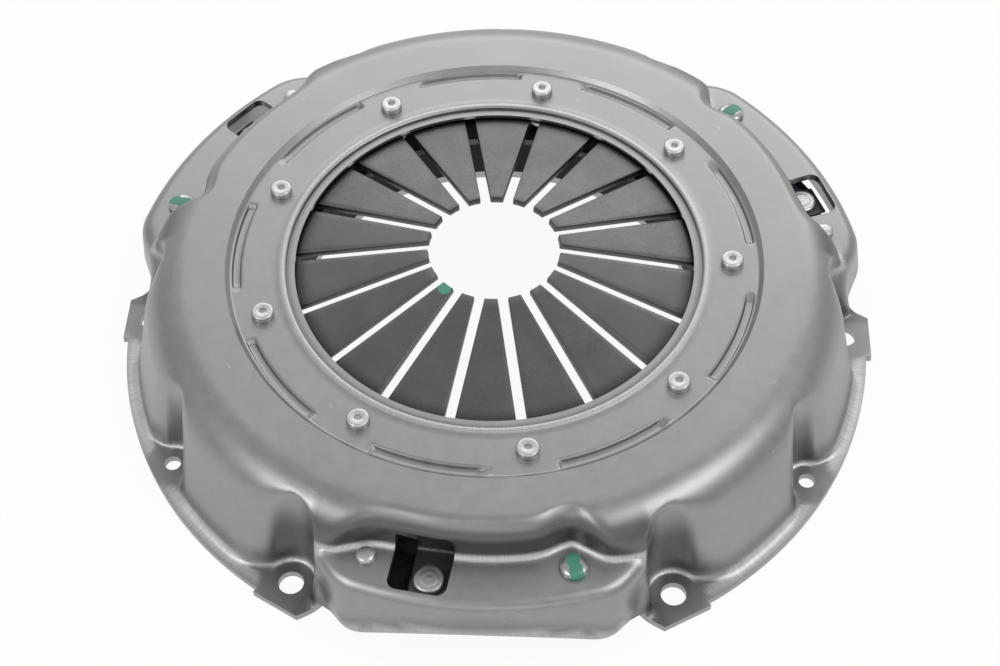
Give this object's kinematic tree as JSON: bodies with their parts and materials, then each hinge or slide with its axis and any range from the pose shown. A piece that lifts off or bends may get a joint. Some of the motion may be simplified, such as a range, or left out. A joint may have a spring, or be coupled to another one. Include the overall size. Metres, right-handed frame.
{
  "type": "clutch pressure plate",
  "caption": "Diaphragm spring clutch pressure plate: pressed steel cover with three strap pockets, riveted diaphragm spring and cast iron plate on drive straps.",
  "frame": {"origin": "on the clutch axis, in the plane of the mounting flange's underside", "axes": "+Z along the clutch axis from the flywheel towards the release fingers; the strap pocket seen at the front points along -Y"},
  "size_m": [0.2878, 0.2853, 0.0513],
  "materials": {
    "cover_steel": "as-pressed, satin",
    "spring_steel": "hardened and shot-peened, dark",
    "cast_iron": "as cast, turned friction face",
    "strap_steel": "rolled spring steel",
    "marked_rivet": "bright head with a dab of green inspection paint",
    "rivet_steel": "bright cold-headed steel",
    "wire_steel": "drawn wire",
    "clip_steel": "blued spring steel"
  },
  "bodies": {
    "cover_assembly": {"cover": "cover_steel", "diaphragm_spring": "spring_steel", "upper_pivot_ring": "wire_steel", "lower_pivot_ring": "wire_steel", "pivot_rivet_1": "rivet_steel", "pivot_rivet_2": "rivet_steel", "pivot_rivet_3": "rivet_steel", "pivot_rivet_4": "rivet_steel", "pivot_rivet_5": "rivet_steel", "pivot_rivet_6": "rivet_steel", "pivot_rivet_7": "rivet_steel", "pivot_rivet_8": "rivet_steel", "pivot_rivet_9": "rivet_steel", "strap_1_leaf_1": "strap_steel", "strap_1_leaf_2": "strap_steel", "strap_1_leaf_3": "strap_steel", "strap_2_leaf_1": "strap_steel", "strap_2_leaf_2": "strap_steel", "strap_2_leaf_3": "strap_steel", "strap_3_leaf_1": "strap_steel", "strap_3_leaf_2": "strap_steel", "strap_3_leaf_3": "strap_steel", "strap_rivet_1": "marked_rivet", "strap_rivet_2": "marked_rivet", "strap_rivet_3": "marked_rivet", "small_rivet_1": "rivet_steel", "small_rivet_2": "rivet_steel", "small_rivet_3": "rivet_steel"},
    "plate_assembly": {"pressure_plate": "cast_iron", "lug_rivet_1": "rivet_steel", "lug_rivet_2": "rivet_steel", "lug_rivet_3": "rivet_steel", "retraction_clip_1": "clip_steel", "retraction_clip_2": "clip_steel", "retraction_clip_3": "clip_steel"}
  },
  "joints": [
    {"name": "plate_lift", "type": "slide", "parent": "cover_assembly", "child": "plate_assembly", "axis": [0, 0, 1], "range_m": [0, 0.0027], "stiffness_N_per_m": 40000, "deforming": ["diaphragm_spring", "strap_1_leaf_1", "strap_1_leaf_2", "strap_1_leaf_3", "strap_2_leaf_1", "strap_2_leaf_2", "strap_2_leaf_3", "strap_3_leaf_1", "strap_3_leaf_2", "strap_3_leaf_3"]}
  ]
}
